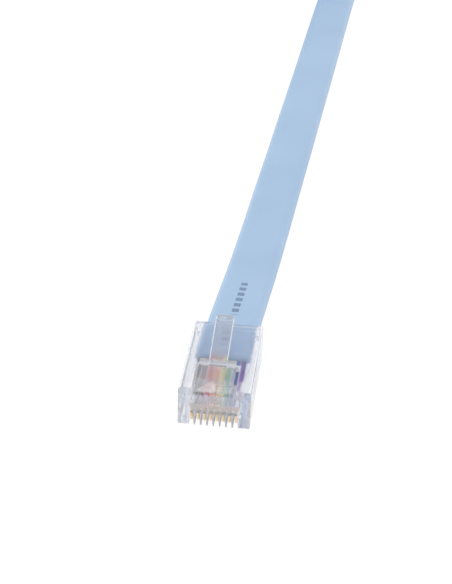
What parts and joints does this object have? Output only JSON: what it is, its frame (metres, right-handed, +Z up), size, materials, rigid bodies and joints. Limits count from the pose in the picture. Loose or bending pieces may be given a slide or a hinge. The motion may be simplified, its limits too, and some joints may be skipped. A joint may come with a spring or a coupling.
{
  "type": "flat console cable",
  "caption": "Flat light-blue console cable with a clear modular plug and gold contacts on each end, its spare length tied in a hank.",
  "frame": {"origin": "under the middle of the plug that the cable's seen end carries, on the surface that the cable lies on", "axes": "+Y from that plug's nose to its cable end, +Z up through its latch, +X to the right when the nose is seen from the front"},
  "size_m": [0.06, 0.3653, 0.0119],
  "materials": {
    "clear_housing": "clear moulded polycarbonate",
    "gold_contact": "gold plate on phosphor bronze",
    "jacket": "light blue extruded soft vinyl, satin",
    "tie": "vinyl coated wire tie",
    "insulation_black": "extruded conductor insulation",
    "insulation_brown": "extruded conductor insulation",
    "insulation_red": "extruded conductor insulation",
    "insulation_orange": "extruded conductor insulation",
    "insulation_yellow": "extruded conductor insulation",
    "insulation_green": "extruded conductor insulation",
    "insulation_blue": "extruded conductor insulation",
    "insulation_violet": "extruded conductor insulation"
  },
  "bodies": {
    "root": {"plug_housing": "clear_housing", "plug_contact_1": "gold_contact", "plug_contact_2": "gold_contact", "plug_contact_3": "gold_contact", "plug_contact_4": "gold_contact", "plug_contact_5": "gold_contact", "plug_contact_6": "gold_contact", "plug_contact_7": "gold_contact", "plug_contact_8": "gold_contact", "plug_conductor_black": "insulation_black", "plug_conductor_brown": "insulation_brown", "plug_conductor_red": "insulation_red", "plug_conductor_orange": "insulation_orange", "plug_conductor_yellow": "insulation_yellow", "plug_conductor_green": "insulation_green", "plug_conductor_blue": "insulation_blue", "plug_conductor_violet": "insulation_violet", "far_plug_housing": "clear_housing", "far_plug_contact_1": "gold_contact", "far_plug_contact_2": "gold_contact", "far_plug_contact_3": "gold_contact", "far_plug_contact_4": "gold_contact", "far_plug_contact_5": "gold_contact", "far_plug_contact_6": "gold_contact", "far_plug_contact_7": "gold_contact", "far_plug_contact_8": "gold_contact", "far_plug_conductor_black": "insulation_black", "far_plug_conductor_brown": "insulation_brown", "far_plug_conductor_red": "insulation_red", "far_plug_conductor_orange": "insulation_orange", "far_plug_conductor_yellow": "insulation_yellow", "far_plug_conductor_green": "insulation_green", "far_plug_conductor_blue": "insulation_blue", "far_plug_conductor_violet": "insulation_violet", "cable_run": "jacket", "cable_hank": "jacket", "cable_tail": "jacket", "twist_tie": "tie"}
  },
  "joints": []
}
